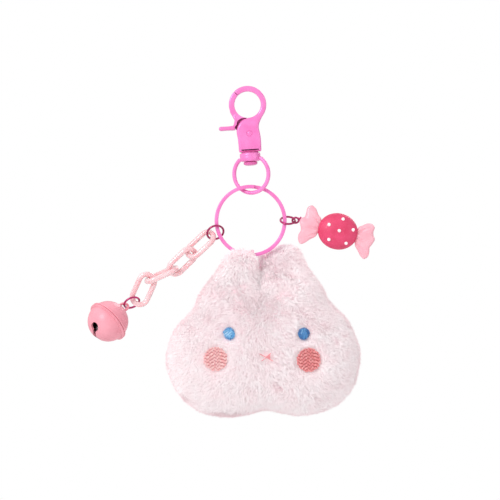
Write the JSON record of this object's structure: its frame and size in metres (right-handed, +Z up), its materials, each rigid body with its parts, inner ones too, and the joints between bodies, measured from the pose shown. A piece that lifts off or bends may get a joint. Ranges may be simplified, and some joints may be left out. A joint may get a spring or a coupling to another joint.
{
  "type": "plush keychain",
  "caption": "Plush keychain: soft two-eared fur charm, swivel lobster clasp and split ring, with an acrylic chain and jingle bell and a wrapped-candy charm",
  "frame": {"origin": "bearing point at the inside top of the clasp hook", "axes": "+X to the right seen from the front, +Y to the back, +Z up with the keychain hanging from its hook"},
  "size_m": [0.1229, 0.036, 0.1388],
  "materials": {
    "pink_enamel": "glossy pink enamel over zinc alloy",
    "rose_enamel": "deeper pink enamel on pin and rivet",
    "magenta_wire": "thin round wire, dark magenta lacquer",
    "spring_steel": "bare spring wire and bell pellet",
    "acrylic": "translucent pale pink acrylic, polished",
    "bell_paint": "salmon pink gloss paint on pressed brass",
    "candy_red": "domed glossy resin",
    "candy_pale": "translucent pleated resin",
    "pearl": "tiny white pearl half-beads",
    "fur": "pale pink short-pile faux fur",
    "filling": "soft polyester filling",
    "ribbon": "sewn cord loop",
    "eye_blue": "blue satin-stitch embroidery, the right one darker",
    "blush": "coral embroidery thread"
  },
  "bodies": {
    "clasp": {"clasp_body": "pink_enamel", "gate_pin": "rose_enamel", "gate_spring": "spring_steel", "swivel_rivet": "rose_enamel"},
    "gate": {"clasp_gate": "pink_enamel"},
    "eye": {"swivel_eye": "pink_enamel"},
    "ring": {"key_ring": "pink_enamel"},
    "chain_jump": {"chain_jump_ring": "magenta_wire"},
    "link_1": {"chain_link_1": "acrylic"},
    "link_2": {"chain_link_2": "acrylic"},
    "link_3": {"chain_link_3": "acrylic"},
    "link_4": {"chain_link_4": "acrylic"},
    "bell_jump": {"bell_jump_ring": "magenta_wire"},
    "bell": {"bell_cap": "bell_paint", "bell_cup": "bell_paint"},
    "pellet": {"bell_pellet": "spring_steel"},
    "candy_jump": {"candy_jump_ring": "magenta_wire"},
    "candy": {"candy_screw_eye": "magenta_wire", "candy_wing_left": "candy_pale", "candy_wing_right": "candy_pale", "candy_disc": "candy_red", "candy_dot_1": "pearl", "candy_dot_2": "pearl", "candy_dot_3": "pearl", "candy_dot_4": "pearl", "candy_dot_5": "pearl", "candy_dot_6": "pearl"},
    "plush": {"plush_front": "fur", "plush_back": "fur", "plush_stuffing": "filling", "hang_loop": "ribbon", "eye_left": "eye_blue", "eye_right": "eye_blue", "cheek_left": "blush", "cheek_right": "blush", "nose_patch": "blush", "mouth_stitch": "blush"}
  },
  "joints": [
    {"name": "gate_hinge", "type": "hinge", "parent": "clasp", "child": "gate", "pos_m": [-0.00024, 0, -0.01762], "axis": [0, -1, 0], "range_deg": [0, 25], "stiffness_Nm_per_rad": 0.03, "springref_deg": -11.46},
    {"name": "swivel_turn", "type": "hinge", "parent": "clasp", "child": "eye", "pos_m": [-0.00064, 0, -0.0274], "axis": [0, 0, 1], "continuous": true},
    {"name": "ring_swing", "type": "hinge", "parent": "eye", "child": "ring", "pos_m": [-0.00064, 0, -0.04225], "axis": [0.9063, -0.4226, 0], "range_deg": [-15, 15]},
    {"name": "plush_swing", "type": "hinge", "parent": "ring", "child": "plush", "pos_m": [-0.00218, 0, -0.06812], "axis": [0.9976, 0.0698, 0], "range_deg": [-10, 10]},
    {"name": "chain_jump_swing", "type": "hinge", "parent": "ring", "child": "chain_jump", "pos_m": [-0.01594, -0.00096, -0.05744], "axis": [0.2498, 0.0175, -0.9681], "range_deg": [-15, 15]},
    {"name": "link_1_swing", "type": "hinge", "parent": "chain_jump", "child": "link_1", "pos_m": [-0.02053, -0.00128, -0.05863], "axis": [0.1502, 0.6413, -0.7524], "range_deg": [-12, 12]},
    {"name": "link_2_swing", "type": "hinge", "parent": "link_1", "child": "link_2", "pos_m": [-0.02879, -0.00114, -0.06642], "axis": [-0.4821, 0.6428, 0.5953], "range_deg": [-12, 12]},
    {"name": "link_3_swing", "type": "hinge", "parent": "link_2", "child": "link_3", "pos_m": [-0.03673, -0.00114, -0.07314], "axis": [-0.5265, -0.5736, 0.6275], "range_deg": [-12, 12]},
    {"name": "link_4_swing", "type": "hinge", "parent": "link_3", "child": "link_4", "pos_m": [-0.04678, -0.00114, -0.07613], "axis": [-0.0711, 0.9781, 0.1954], "range_deg": [-12, 12]},
    {"name": "bell_jump_swing", "type": "hinge", "parent": "link_4", "child": "bell_jump", "pos_m": [-0.05166, -0.00114, -0.08531], "axis": [-0.8829, 0, 0.4695], "range_deg": [-12, 12]},
    {"name": "bell_swing", "type": "hinge", "parent": "bell_jump", "child": "bell", "pos_m": [-0.0568, -0.00114, -0.08588], "axis": [0.2173, 0.809, -0.5461], "range_deg": [-12, 12]},
    {"name": "pellet_slide", "type": "slide", "parent": "bell", "child": "pellet", "axis": [0.6895, 0.454, 0.5643], "range_m": [-0.0005, 0.008]},
    {"name": "candy_jump_swing", "type": "hinge", "parent": "ring", "child": "candy_jump", "pos_m": [0.01202, 0.00099, -0.05462], "axis": [0.0522, 0.0037, 0.9986], "range_deg": [-15, 15]},
    {"name": "candy_swing", "type": "hinge", "parent": "candy_jump", "child": "candy", "pos_m": [0.01635, 0.0013, -0.05484], "axis": [-0.034, 0.8639, 0.5025], "range_deg": [-12, 12]}
  ]
}
